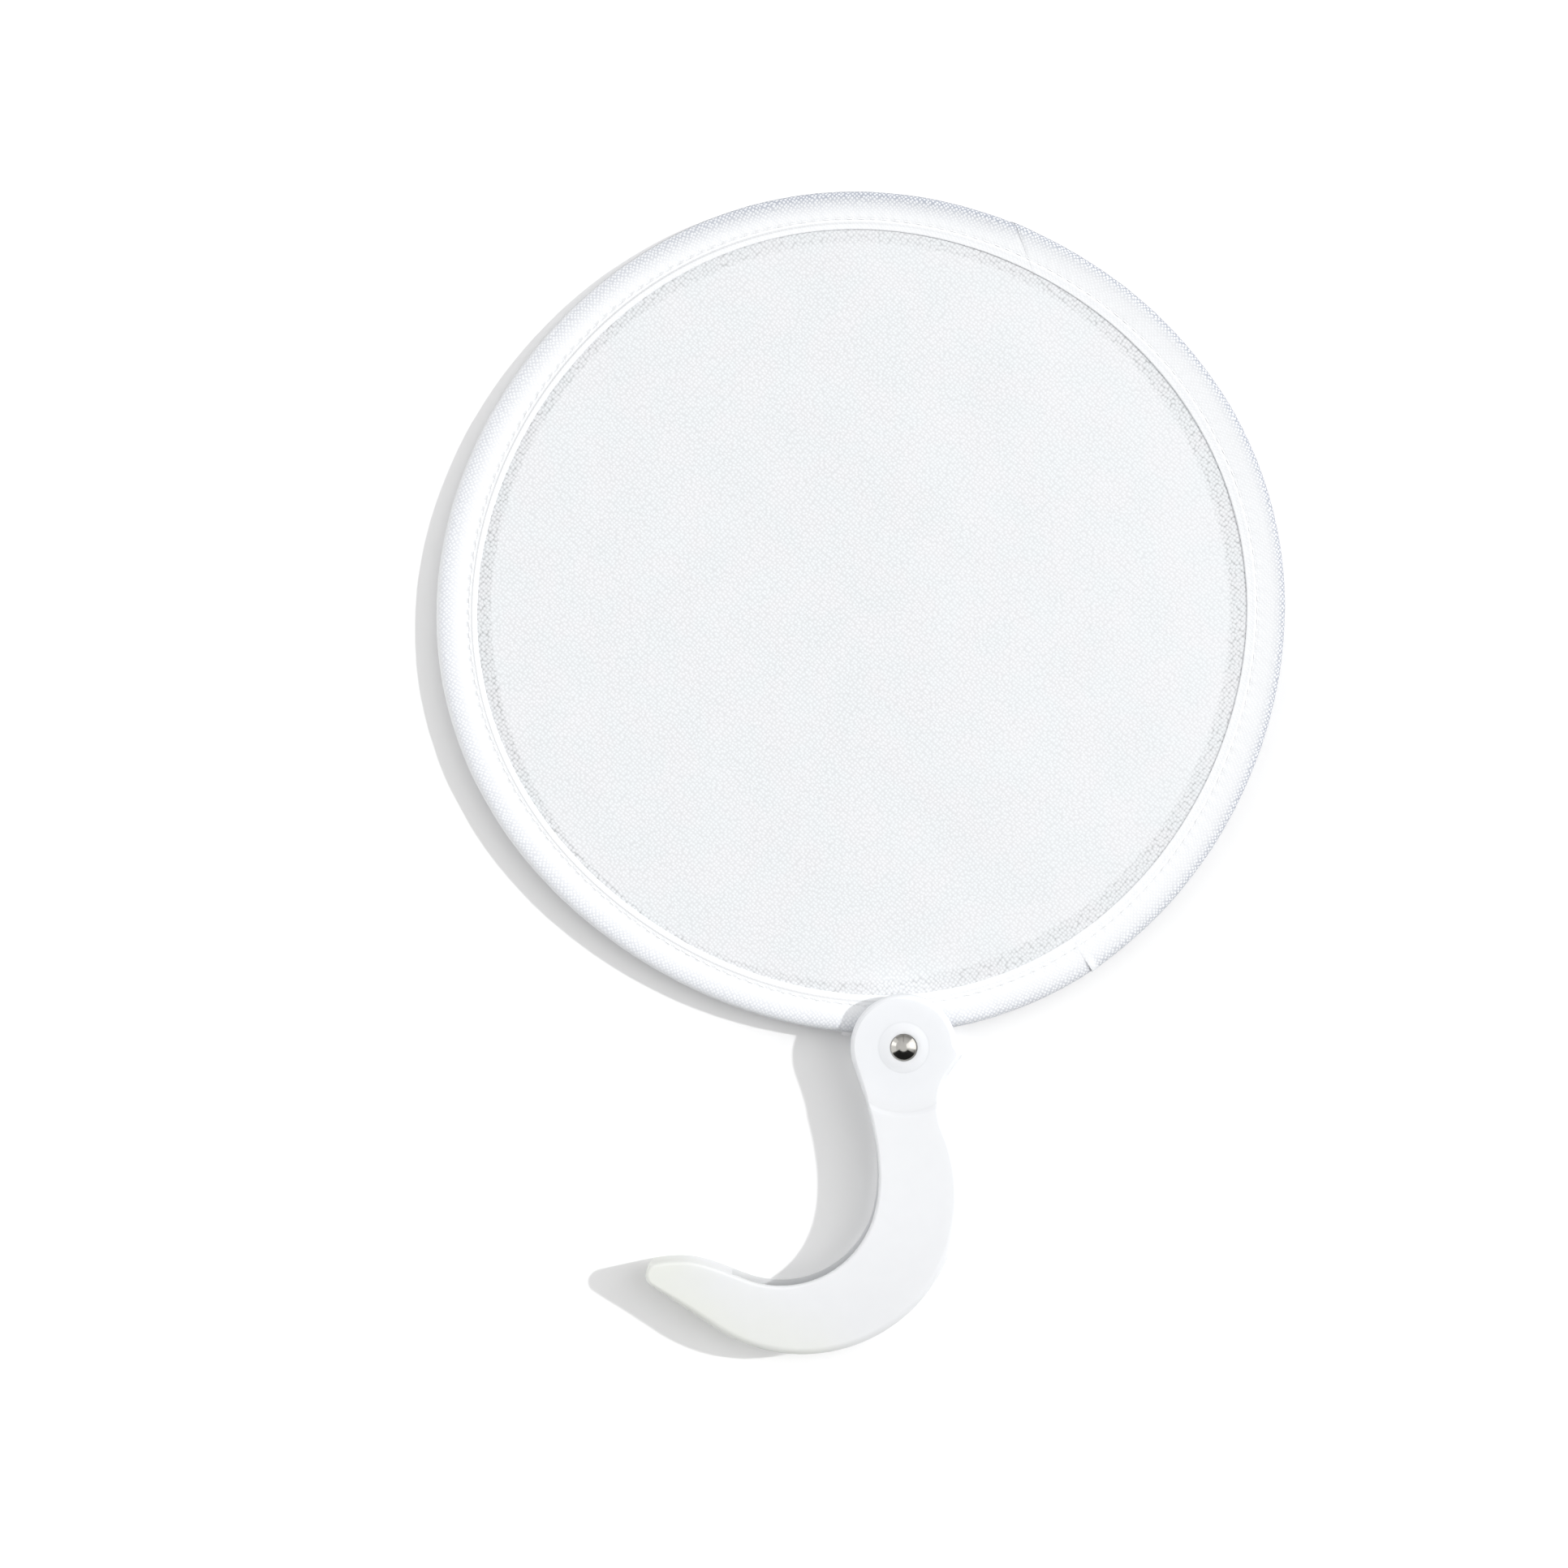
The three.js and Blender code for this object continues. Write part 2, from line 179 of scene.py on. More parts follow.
# The camera and the bright rivet see the table pure white, but it throws back a little less light
bpy.ops.object.select_all(action="DESELECT")
bpy.ops.mesh.primitive_plane_add(size=table_size, location=(0, 0, -table_drop))
floor = bpy.context.active_object
floor.name = "floor"
table, cover = new_finish("white_table")
plain = cover.node("BsdfDiffuse", None, {"Color": table_white})
bright = cover.node("BsdfDiffuse", None, {"Color": (1, 1, 1, 1)})
glow = cover.node("Emission", None, {"Strength": table_glow})
backdrop = cover.node("AddShader", None, {0: bright, 1: glow})
seen = cover.node("LightPath", None, None, "Is Camera Ray")
for way in ("Is Glossy Ray", "Is Transmission Ray"):
    seen = seen.at_least(cover.node("LightPath", None, None, way))
shown = cover.node("MixShader", None, {0: seen, 1: plain, 2: backdrop})
cover.plug(table.node_tree.nodes["Material Output"], {0: shown})
floor.data.materials.append(table)


# Leaf cloth: one round of sheer, plain-woven white cloth, stretched like a drum skin.
# Its edge is caught between the two lips of the hem. It is modelled flat about its own middle,
# then sprung a little out of round with the hoop and leant on the ground, as the CAD has it.
leaf_radius = 124.3 * mm
cloth_radius = 118.6 * mm
cloth_thickness = 0.26 * mm
cloth_sides = 192
cloth_rings = 22
cloth_wave, cloth_wave_length = 0.22 * mm, 34 * mm
rivet_height = 7.5 * mm
rivet_to_middle = 128.9 * mm
hem_half = 2.6 * mm
crown_set_back = 1.6 * mm
lean = math.asin((rivet_height - hem_half) / (rivet_to_middle + leaf_radius - crown_set_back))
rivet_low, rivet_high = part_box("rivet_cap")
rivet = Vector(((rivet_low.x + rivet_high.x) / 2, (rivet_low.y + rivet_high.y) / 2, rivet_height))
middle = rivet + Vector((0, rivet_to_middle * math.cos(lean), -rivet_to_middle * math.sin(lean)))
hem_lip = 113.4 * mm
stitch_radius = 116.35 * mm
hoop_waves = ((2, 0.84 * mm, -34), (3, 0.63 * mm, 53.1), (4, 0.85 * mm, 9.3))  # count, height, bearing
lip_wander, seam_wander, seam_width = 0.75 * mm, 0.6 * mm, 1.2 * mm
wander_zone = (90 * mm, 110 * mm, 116.5 * mm, 121.5 * mm)
cloth_threads = (1.02 * mm, 47, 0.44)  # spacing, turn, unevenness
thread_top, thread_gap = (0.0, 0.48, 1.0, 0.0), (0.5, 0.7)
weave_drift = 1.3


def pick(piece):
    """Selects this piece alone."""
    bpy.ops.object.select_all(action="DESELECT")
    piece.select_set(True)
    bpy.context.view_layer.objects.active = piece


def worked(piece, kind, **settings):
    """Gives the piece a modifier and applies it."""
    pick(piece)
    modifier = piece.modifiers.new(kind.lower(), kind)
    for name, value in settings.items():
        setattr(modifier, name, value)
    bpy.ops.object.modifier_apply(modifier=modifier.name)


def smoothed(piece, sharpest):
    """Shades the piece smooth, but not over edges sharper than this angle in degrees."""
    pick(piece)
    bpy.ops.object.shade_smooth_by_angle(angle=math.radians(sharpest))


def corners_of(piece):
    """The piece's corners as rows of x, y, z."""
    places = np.empty(3 * len(piece.data.vertices))
    piece.data.vertices.foreach_get("co", places)
    return places.reshape(-1, 3)


def move_corners(piece, places):
    piece.data.vertices.foreach_set("co", places.ravel())
    piece.data.update()


def hump(values, place, width):
    """A smooth hump, 1 high, where the values pass a place."""
    return np.exp(-(((values - place) / width) ** 2))


def set_on_leaf(piece):
    """Springs a piece modelled about the leaf's middle out of round and leans it in its place."""
    places = corners_of(piece)
    angle = np.arctan2(places[:, 1], places[:, 0])
    swell = sum(h * np.cos(n * (angle - math.radians(start))) for n, h, start in hoop_waves)
    radius = np.hypot(places[:, 0], places[:, 1])
    wider = lip_wander * np.interp(radius, wander_zone, (0, 1, 1, 0))
    wider += seam_wander * hump(radius, stitch_radius, seam_width)
    wider *= np.clip(-np.cos(angle), 0, 1) ** 2
    places[:, :2] *= (1 + swell / leaf_radius - wider / leaf_radius)[:, None]
    move_corners(piece, places)
    outward = Matrix.Translation((0, rivet_to_middle, 0))
    piece.data.transform(Matrix.Translation(rivet) @ Matrix.Rotation(-lean, 4, "X") @ outward)


def weave_cell(point, spacing, turn, unevenness):
    """A plain weave: how far a point is from the nearest thread's crown, in threads."""
    grid = {"Rotation": (0, 0, math.radians(turn)), "Scale": (1 / spacing, 1 / spacing, 0)}
    flat = point.node("Mapping", {"vector_type": "POINT"}, {"Vector": point, **grid})
    drift = point.node("TexNoise", None, {"Vector": flat, "Scale": 0.25, "Detail": 2.0}, "Color")
    drift = point.node("VectorMath", {"operation": "SCALE"}, {0: drift, "Scale": weave_drift})
    flat = point.node("VectorMath", {"operation": "ADD"}, {0: flat, 1: drift})
    crowns = {"Vector": flat, "Scale": 1.0, "Randomness": unevenness}
    return point.node("TexVoronoi", {"voronoi_dimensions": "2D"}, crowns, "Distance")


bpy.ops.object.select_all(action="DESELECT")
bpy.ops.mesh.primitive_circle_add(vertices=cloth_sides, radius=cloth_radius, fill_type="NGON")
leaf_cloth = bpy.context.active_object
leaf_cloth.name = "leaf_cloth"
bpy.ops.object.mode_set(mode="EDIT")
for _ in range(cloth_rings):
    bpy.ops.mesh.inset(thickness=cloth_radius / (cloth_rings + 1))
bpy.ops.mesh.poke()
bpy.ops.object.mode_set(mode="OBJECT")
places = corners_of(leaf_cloth)
for place in places:
    held = 1 - (np.hypot(place[0], place[1]) / cloth_radius) ** 6
    place[2] += cloth_wave * held * noise.noise(Vector(place) / cloth_wave_length)
move_corners(leaf_cloth, places)
worked(leaf_cloth, "SOLIDIFY", thickness=cloth_thickness, offset=0)
smoothed(leaf_cloth, 40)
set_on_leaf(leaf_cloth)

sheer, cloth = new_finish("sheer_cloth")
spot = cloth.node("TexCoord", None, None, "Object")
spot = spot.node("VectorMath", {"operation": "SUBTRACT"}, {0: spot, 1: middle})
cell = weave_cell(spot, *cloth_threads)
crown = cell.between(*thread_top)
hole = cell.between(*thread_gap)

# Next to the hem the sewing strains the cloth and opens its gaps; there its colour is also darkened in a
# band, wider on the lamp's side: painted shade standing in for the hem's shadow seen through the cloth
out = spot.node("VectorMath", {"operation": "LENGTH"}, {0: spot}, "Value")
east = spot.node("SeparateXYZ", None, {0: spot}, 0) / leaf_radius
west = 0 - east
band = (4.3 + 1.4 * east) * mm
strain_and_shade = (out + lip_wander * west.at_least(0.0) - hem_lip) / band
strain_and_shade = strain_and_shade.between(-1.05, -0.7) * (0.45 + 0.55 * abs(east))
full = 1 - hole * (0.05 + 0.18 * strain_and_shade)

cloud = spot.node("TexNoise", None, {"Vector": spot, "Scale": 55.0, "Detail": 3.0})
# Painted light: the tone is lighter in the eastern half, towards the lamp. Painted shade: it is darker in
# the strained band by the hem
tone = 0.896 + 0.19 * crown + 0.05 * (cloud - 0.5) + 0.02 * east + 0.02 * abs(east)
tone = (tone - strain_and_shade * (0.09 + 0.13 * hole)).at_most(1.0)
tint = spot.node("TexNoise", None, {"Vector": spot, "Scale": 90.0, "Detail": 1.0}).between(0.35, 0.65)
white = {"Factor": tint, "A": (0.955, 0.98, 1.0, 1), "B": (0.97, 0.979, 1.0, 1)}
white = spot.node("Mix", {"data_type": "RGBA"}, white, "Result")
white = spot.node("VectorMath", {"operation": "SCALE"}, {0: white, "Scale": tone})
bump = spot.node("Bump", None, {"Height": crown, "Distance": 0.08 * mm, "Strength": 0.45})
surface = {"Base Color": white, "Roughness": 0.85, "Specular IOR Level": 0.25, "Normal": bump}
threads = spot.node("BsdfPrincipled", None, surface)
through = spot.node("BsdfTranslucent", None, {"Color": white})
body = spot.node("MixShader", None, {0: 0.08, 1: threads, 2: through})
open_weave = spot.node("BsdfTransparent")
shown = spot.node("MixShader", None, {0: full, 1: open_weave, 2: body})
cloth.plug(sheer.node_tree.nodes["Material Output"], {0: shown})
leaf_cloth.data.materials.append(sheer)
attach(leaf_cloth, "leaf")
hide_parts("leaf_fabric")


# Hem: two strips of bias-cut cotton tape folded over the hoop, their edges turned under and their
# lips sewn together through the cloth. The short strip laps over the ends of the long one.
tape_face = (  # radius and height of the front lip, from its turned-in edge out over the hoop
    (115.50, 0.16), (114.70, 0.15), (114.05, 0.16), (113.65, 0.19), (113.44, 0.28), (113.36, 0.41),
    (113.44, 0.49), (113.66, 0.53), (114.10, 0.56), (114.60, 0.62), (115.10, 0.69), (115.55, 0.75),
    (115.98, 0.76), (116.35, 0.67), (116.75, 0.79), (117.35, 0.88), (118.15, 1.01), (119.00, 1.15),
    (119.80, 1.28), (120.60, 1.41), (121.35, 1.53), (122.00, 1.63), (122.60, 1.69), (123.18, 1.66),
    (123.68, 1.50), (124.08, 1.22), (124.38, 0.82), (124.57, 0.36),
)
tape_crest = (124.62, 0.0)
tape_section = [*tape_face, tape_crest, *[(r, -z) for r, z in reversed(tape_face)]]
seam_point, crest_point = 13, len(tape_face)
tape_thickness = 0.2 * mm
tape_step = 0.78 * mm
upper_join, lower_join, lap = 63.8, -62.8, 2.4
tape_threads = (0.95 * mm, 45, 0.3)
stitch_count = 212
clip_bearing, clip_reach, clip_fade = 270, 8.8, 13
clip_swell = 0.42
join_slant, slant_fade = 0.9, 24 * mm
gather, lip_gather = 0.07 * mm, 0.03 * mm
ripple, ripple_length = 0.05 * mm, 2.6 * mm
slack, slack_length = 0.07 * mm, 11 * mm
lap_lift, lap_press, under_press, tuck_lift = 0.2 * mm, 0.09 * mm, 0.08 * mm, 0.3 * mm


def run_of(points):
    """The length of a line of points given in millimetres."""
    return sum(math.dist(a, b) for a, b in zip(points, points[1:])) * mm


tape_width = run_of(tape_section)
stitch_reach = run_of(tape_section[seam_point : crest_point + 1])


def drawn(name, points, closed=False):
    """A line of edges, drawn by extruding one corner from point to point."""
    bpy.ops.object.select_all(action="DESELECT")
    bpy.ops.mesh.primitive_plane_add(size=mm)
    piece = bpy.context.active_object
    piece.name = name
    bpy.ops.object.mode_set(mode="EDIT")
    bpy.ops.mesh.merge(type="CENTER")
    bpy.ops.transform.translate(value=points[0])
    for start, end in zip(points, points[1:]):
        bpy.ops.mesh.extrude_region_move(TRANSFORM_OT_translate={"value": end - start})
    bpy.ops.mesh.select_all(action="SELECT")
    if closed:
        bpy.ops.mesh.edge_face_add()
    return piece


def tidied(piece):
    """Merges doubled corners and turns the faces outwards, then leaves edit mode."""
    bpy.ops.mesh.select_all(action="SELECT")
    bpy.ops.mesh.remove_doubles(threshold=0.002 * mm)
    bpy.ops.mesh.normals_make_consistent(inside=False)
    bpy.ops.object.mode_set(mode="OBJECT")
    piece.data.update()
    return piece


def spun_strip(name, start, end):
    """The tape's section, spun round the leaf from one angle to another."""
    first = Matrix.Rotation(math.radians(start), 3, "Z")
    strip = drawn(name, [first @ Vector((r * mm, 0, z * mm)) for r, z in tape_section])
    turn = math.radians(end - start)
    steps = round(turn * leaf_radius / tape_step)
    bpy.ops.mesh.spin(steps=steps, angle=-turn, center=(0, 0, 0), axis=(0, 0, 1))
    tidied(strip)
    places = corners_of(strip)
    outermost = np.argmax(np.hypot(places[:, 0], places[:, 1]))
    if np.dot(strip.data.vertices[outermost].normal, places[outermost]) < 0:
        strip.data.flip_normals()
    return strip


def cloth_lift(pattern, radius):
    """How far the thread pulls the tape into small gathers, and bias-cut cloth ripples aslant."""
    beat = np.cos(pattern[:, 2])
    ripples = [noise.noise(Vector((a + 0.8 * c, 0.3 * c, 0)) / ripple_length) for a, c, _ in pattern]
    slacks = [noise.noise(Vector((a, c, 7)) / slack_length) for a, c, _ in pattern]
    lift = gather * hump(radius, stitch_radius + 0.5 * mm, 1.1 * mm) * beat
    lift += lip_gather * hump(radius, 114 * mm, 0.8 * mm) * beat
    return lift + ripple * np.array(ripples) + slack * np.array(slacks)


def tape_strip(name, start, end, lapping):
    """A strip of tape from one angle to another, lapping over its neighbour's ends or under them."""
    strip = spun_strip(name, start, end)
    normals = np.array([corner.normal for corner in strip.data.vertices])
    places = corners_of(strip)
    radius = np.hypot(places[:, 0], places[:, 1])
    angle = np.degrees(np.arctan2(places[:, 1], places[:, 0]))
    angle = start + (angle - start + 1) % 360 - 1  # the 1 keeps the strip's first ring from wrapping

    # Over the clip the hem is fuller, and the strips' upper ends are cut on the bias
    section = np.array(tape_section) * mm
    reach = np.concatenate([[0], np.cumsum(np.hypot(*np.diff(section, axis=0).T))])
    off_section = np.hypot(radius[:, None] - section[:, 0], places[:, 2, None] - section[:, 1])
    across = reach[off_section.argmin(axis=1)]
    over_clip = np.interp(np.abs(angle - clip_bearing), (clip_reach, clip_fade), (1, 0))
    places[:, 2] *= 1 + clip_swell * over_clip * np.interp(radius, (117.5 * mm, 121 * mm), (0, 1))
    from_upper_end = np.radians(angle - start if not lapping else end - angle) * leaf_radius
    slant = join_slant * (across - tape_width / 2) / radius
    slant *= np.interp(from_upper_end, (0, slant_fade), (1, 0))
    slanted = np.exp(1j * slant) * (places[:, 0] + 1j * places[:, 1])
    places[:, 0], places[:, 1] = slanted.real, slanted.imag

    # The pattern of the weave follows the tape: metres along it and across it, and the stitches
    along = (np.radians(angle - start) + slant) * leaf_radius
    pattern = np.stack([along, across, (np.radians(angle) + slant) * stitch_count], axis=1)
    weave = strip.data.attributes.new("tape", "FLOAT_VECTOR", "POINT")
    weave.data.foreach_set("vector", pattern.ravel())

    # At a join the upper strip rises over the lower one, and its very edge lies pressed down
    lift = cloth_lift(pattern, radius)
    from_end = np.radians(np.minimum(angle - start, end - angle)) * leaf_radius
    outside = np.interp(radius, (117 * mm, 121.5 * mm), (0.3, 1))
    if lapping:
        lift += lap_lift * np.interp(from_end, (2 * mm, 8 * mm), (1, 0)) * outside
        lift -= lap_press * np.interp(from_end, (0, 0.8 * mm), (1, 0))
        lift += tuck_lift * hump(along, 0, 1.5 * mm) * np.interp(radius, (120.8 * mm, 122.4 * mm), (0, 1))
    else:
        lift -= under_press * np.interp(from_end, (4 * mm, 9 * mm), (1, 0)) * outside
    move_corners(strip, places + normals * lift[:, None])
    worked(strip, "SOLIDIFY", thickness=tape_thickness, offset=-1, use_even_offset=True)
    smoothed(strip, 60)
    return strip


bias, tape = new_finish("bias_tape")
laid = tape.node("Attribute", {"attribute_name": "tape"}, None, "Vector")
along = laid.node("SeparateXYZ", None, {0: laid}, 0)
from_rim = abs(laid.node("SeparateXYZ", None, {0: laid}, 1) - tape_width / 2)
beat = laid.node("SeparateXYZ", None, {0: laid}, 2)
beat = beat.math("COSINE", beat)
place = laid.node("TexCoord", None, None, "Object")
place = laid.node("VectorMath", {"operation": "SUBTRACT"}, {0: place, 1: middle})
east = laid.node("SeparateXYZ", None, {0: place}, 0) / leaf_radius
north = laid.node("SeparateXYZ", None, {0: place}, 1) / leaf_radius
crown = weave_cell(laid, *tape_threads).between(*thread_top)
gap = (1 - crown) ** 4

# Blue-grey is mixed into the gaps of the weave: the dark hoop seen through the tape, and painted shade on
# the curved rim.
# It lies by the rim on the side of the lamp, further in on the other side and at the top, and less where
# the strip's end is folded double
sunny = 0.5 + 0.45 * east + 0.1 * north
by_rim = from_rim.between(0.7 * mm, 3.4 * mm, 0.6, 0.0) + from_rim.between(1.8 * mm, 5.2 * mm, 0.25, 0.0)
further_in = from_rim.between(1.1 * mm, 2.8 * mm) * from_rim.between(2.8 * mm, 8.6 * mm, 1.0, 0.0)
northern = north.at_least(0.0) * east.between(-0.8, 0.0) * east.between(0.25, 0.75, 1.0, 0.1)
steel = by_rim * sunny + 0.45 * further_in * (1 - sunny)
steel = steel + from_rim.between(0.4 * mm, 8.5 * mm, 0.37, 0.0) * northern
single = along.between(1.2 * mm, 3.0 * mm)
steel = steel * (0.43 - 0.25 * sunny + (0.64 + 0.78 * sunny) * gap) * (0.25 + 0.75 * single)
white = {"Factor": steel, "A": (0.968, 0.98, 0.998, 1), "B": (0.45, 0.475, 0.54, 1)}
white = laid.node("Mix", {"data_type": "RGBA"}, white, "Result")

# Painted shade: in the needle holes, as the floats' shadow beside them and in the crease of the lip, most
# on the western side away from the lamp, and along the rim on the northern and eastern sides
from_seam = from_rim - stitch_reach
needle = beat.between(-0.7, -0.1, 1.0, 0.0) * abs(from_seam).between(0.12 * mm, 0.3 * mm, 1.0, 0.0)
float_shadow = beat.between(-0.1, 0.5) * abs(from_seam + 0.3 * mm).between(0.22 * mm, 0.52 * mm, 1.0, 0.0)
crease = abs(from_seam - 1.15 * mm).between(0.15 * mm, 0.45 * mm, 1.0, 0.0)
rim = from_rim.between(0.8 * mm, 1.4 * mm, 1.0, 0.0)
western = east.between(-0.7, 0.5, 1.0, 0.1)
surface = laid.node("VectorMath", {"operation": "MULTIPLY"}, {0: laid, 1: (1, 1, 0)})
cloud = laid.node("TexNoise", None, {"Vector": surface, "Scale": 130.0, "Detail": 3.0})
tone = 0.983 + 0.03 * crown + 0.02 * (cloud - 0.5) - 0.07 * needle
tone = tone - western * (0.06 * needle + 0.14 * float_shadow + 0.26 * crease)
tone = tone - rim * (0.22 * north.at_least(0.0) + 0.12 * east.at_least(0.0))
white = laid.node("VectorMath", {"operation": "SCALE"}, {0: white, "Scale": tone})
bump = laid.node("Bump", None, {"Height": crown, "Distance": 0.08 * mm, "Strength": 0.5})
surface = {"Roughness": 0.8, "Specular IOR Level": 0.3, "Sheen Weight": 0.15}
tape.plug(bias.node_tree.nodes["Principled BSDF"], {"Base Color": white, "Normal": bump, **surface})

binding_long = tape_strip("hem_tape_long", upper_join - lap, 360 + lower_join + lap, False)
binding_short = tape_strip("hem_tape_short", lower_join, upper_join, True)
for strip, node in ((binding_long, "binding_long"), (binding_short, "binding_short")):
    set_on_leaf(strip)
    strip.data.materials.append(bias)
    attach(strip, "leaf")
    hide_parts(node)


# Lockstitch: one row of white thread through both lips and the cloth, seen as a short float on
# either face between two needle holes, all the way round the hem.
float_radius = 0.16 * mm
float_half = 1.12 * mm
float_sides = 6
stitch_heights = (0.46, 0.70, 0.77, 0.77, 0.70, 0.46)


def stitch_row(name, side):
    """One float of thread, spun round the leaf as separate copies."""
    bpy.ops.object.select_all(action="DESELECT")
    start = Vector((stitch_radius, -float_half, side * stitch_heights[0] * mm))
    upright = (math.pi / 2, 0, 0)
    bpy.ops.mesh.primitive_circle_add(
        vertices=float_sides, radius=float_radius, fill_type="NGON", location=start, rotation=upright
    )
    row = bpy.context.active_object
    row.name = name
    bpy.ops.object.transform_apply()
    bpy.ops.object.mode_set(mode="EDIT")
    for low, high in zip(stitch_heights, stitch_heights[1:]):
        step = (0, 2 * float_half / (len(stitch_heights) - 1), side * (high - low) * mm)
        bpy.ops.mesh.extrude_region_move(TRANSFORM_OT_translate={"value": step})
    bpy.ops.mesh.select_all(action="SELECT")
    turn = 2 * math.pi * (stitch_count - 1) / stitch_count
    bpy.ops.mesh.spin(steps=stitch_count - 1, dupli=True, angle=turn, center=(0, 0, 0), axis=(0, 0, 1))
    return tidied(row)


cotton, strand = new_finish("sewing_thread")
spot = strand.node("TexCoord", None, None, "Object")
twist = strand.node("TexWave", None, {"Vector": spot, "Scale": 900.0, "Distortion": 4.0}, "Fac")
white = {0: (0.96, 0.965, 0.98), "Scale": 0.9 + 0.1 * twist}
white = strand.node("VectorMath", {"operation": "SCALE"}, white)
bump = strand.node("Bump", None, {"Height": twist, "Distance": 0.04 * mm, "Strength": 0.5})
surface = {"Base Color": white, "Roughness": 0.6, "Normal": bump}
strand.plug(cotton.node_tree.nodes["Principled BSDF"], surface)
for name, side in (("stitches_front", 1), ("stitches_rear", -1)):
    row = stitch_row(name, side)
    smoothed(row, 70)
    set_on_leaf(row)
    row.data.materials.append(cotton)
    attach(row, "leaf")


# Spring hoop and root clip: a blued spring-steel strip on edge inside the hem, its two ends held
# in a folded clip of plain sheet steel, whose flange comes out of the hem and turns on the rivet.
def brushed(name, colour, roughness, along):
    """Steel with fine drawn lines, whose scale along each axis is given."""
    steel, grain = new_finish(name)
    spot = grain.node("TexCoord", None, None, "Object")
    drawn_out = grain.node("Mapping", None, {"Vector": spot, "Scale": along})
    lines = grain.node("TexNoise", None, {"Vector": drawn_out, "Scale": 1.0, "Detail": 4.0})
    stain = grain.node("TexNoise", None, {"Vector": spot, "Scale": 160.0, "Detail": 2.0})
    tone = 0.85 + 0.2 * lines + 0.12 * (stain - 0.5)
    metal = grain.node("VectorMath", {"operation": "SCALE"}, {0: colour, "Scale": tone})
    rough = roughness + 0.18 * (lines - 0.5) + 0.1 * (stain - 0.5)
    bump = grain.node("Bump", None, {"Height": lines, "Distance": 0.02 * mm, "Strength": 0.4})
    surface = {"Base Color": metal, "Metallic": 1.0, "Roughness": rough, "Normal": bump}
    grain.plug(steel.node_tree.nodes["Principled BSDF"], surface)
    return steel


for node, steel in (
    ("root_clip", brushed("clip_sheet", (0.6, 0.6, 0.61), 0.34, (200, 5000, 5000))),
    ("spring_hoop", brushed("hoop_strip", (0.3, 0.32, 0.37), 0.36, (300, 300, 6000))),
):
    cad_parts[node].material_slots[0].material = steel


# Handle: one injection moulding in white satin plastic, a hooked channel open on its inside.
# Its two cheeks thin to a clevis at the boss, with a raised pad outside and a spacer inside
# round the rivet, and a small stop lug on the right. Sizes are in millimetres from the rivet.
handle_half = 7.5
boss = (0.0, 0.0, 15.6)
grip_outer = (-33.7, -40.8, 46.5)
grip_inner = (-39.7, -38.1, 28.4)
waist_radius = 17.2
tip_radius = 3.6
hook_back, back_length = -129.4, 21.95
lug_angle, lug_stand, lug_foot = -12, 2.1, -1
throat_start, bend_start, bend_end, tip_start = 195, -20, -115, 95
throat_pull, bend_pull, palm_pull, tip_pull = 13, 15, 11, 12
arc_step, curve_steps, back_steps = 3.0, 16, 10
boss_sink, step_start, step_width = 0.35, 18.9, 1.8
ramp_steps, ramp_rise = 6, 1.03
boss_zone, tip_zone = 18, 9
lug_round, boss_round, tip_round, palm_round = 1.9, 1.5, 1.2, 1.0
back_rounds, back_widens = (1.5, 2.25), (24, 46)
round_steps, round_blends = 6, 10
ring_lift = 0.01 * mm
web_wall = 1.6
channel_half, channel_end, channel_turn = 6.0, -133, -125
clevis_radius, clevis_half = 17.4, 4.5
spacer_radius, spacer_half = 3.6, 0.7
pad_radius, pad_foot = 7.4, 5.5
pad_slope = ((7.4, 7.17), (7.15, 7.21), (6.6, 7.30), (6.0, 7.41), (5.4, 7.50), (4.9, 7.54), (4.6, 7.55))
seat_floor, cap_seat, stud_seat = 6.6, 4.05, 4.25
socket_radius, socket_floor = 2.5, 4.8
bore_radius = 1.7
beyond = 9


def on_circle(circle, angle, wider=0.0):
    x, y, radius = circle
    turn = math.radians(angle)
    return Vector((x + (radius + wider) * math.cos(turn), y + (radius + wider) * math.sin(turn), 0))


def arc(circle, start, end, wider=0.0):
    steps = max(3, math.ceil(abs(end - start) / arc_step))
    return [on_circle(circle, start + (end - start) * i / steps, wider) for i in range(steps + 1)]


def step_in(heading):
    """A step of one millimetre in a heading."""
    return on_circle((0, 0, 1), heading)


def soft_curve(start, heading, pull, end, end_heading, end_pull):
    """The inner points of a curve that leaves one point and lands at another in given headings."""
    leaving = start + pull * step_in(heading)
    landing = end - end_pull * step_in(end_heading)
    points = []
    for i in range(1, curve_steps):
        t = i / curve_steps
        weights = ((1 - t) ** 3, 3 * t * (1 - t) ** 2, 3 * t * t * (1 - t), t**3)
        points.append(sum((w * p for w, p in zip(weights, (start, leaving, landing, end))), Vector()))
    return points


# The waist is a circle that touches boss and grip from outside, and the tip one inside the grip
grip_reach = grip_outer[2] + waist_radius
boss_reach = boss[2] + waist_radius
span = math.hypot(grip_outer[0], grip_outer[1])
opening = math.degrees(math.acos((boss_reach**2 + span**2 - grip_reach**2) / (2 * boss_reach * span)))
to_grip = math.degrees(math.atan2(grip_outer[1], grip_outer[0]))
waist_middle = on_circle((0, 0, boss_reach), to_grip + opening)
waist = (waist_middle.x, waist_middle.y, waist_radius)
waist_top = math.degrees(math.atan2(-waist[1], -waist[0]))
waist_low = math.degrees(math.atan2(grip_outer[1] - waist[1], grip_outer[0] - waist[0])) + 360
tip_foot = on_circle(grip_outer, hook_back, -tip_radius)
tip_middle = tip_foot + back_length * step_in(hook_back - 90)
hook_tip = (tip_middle.x, tip_middle.y, tip_radius)
tip_end = on_circle(hook_tip, hook_back)
back_start = on_circle(grip_outer, hook_back)
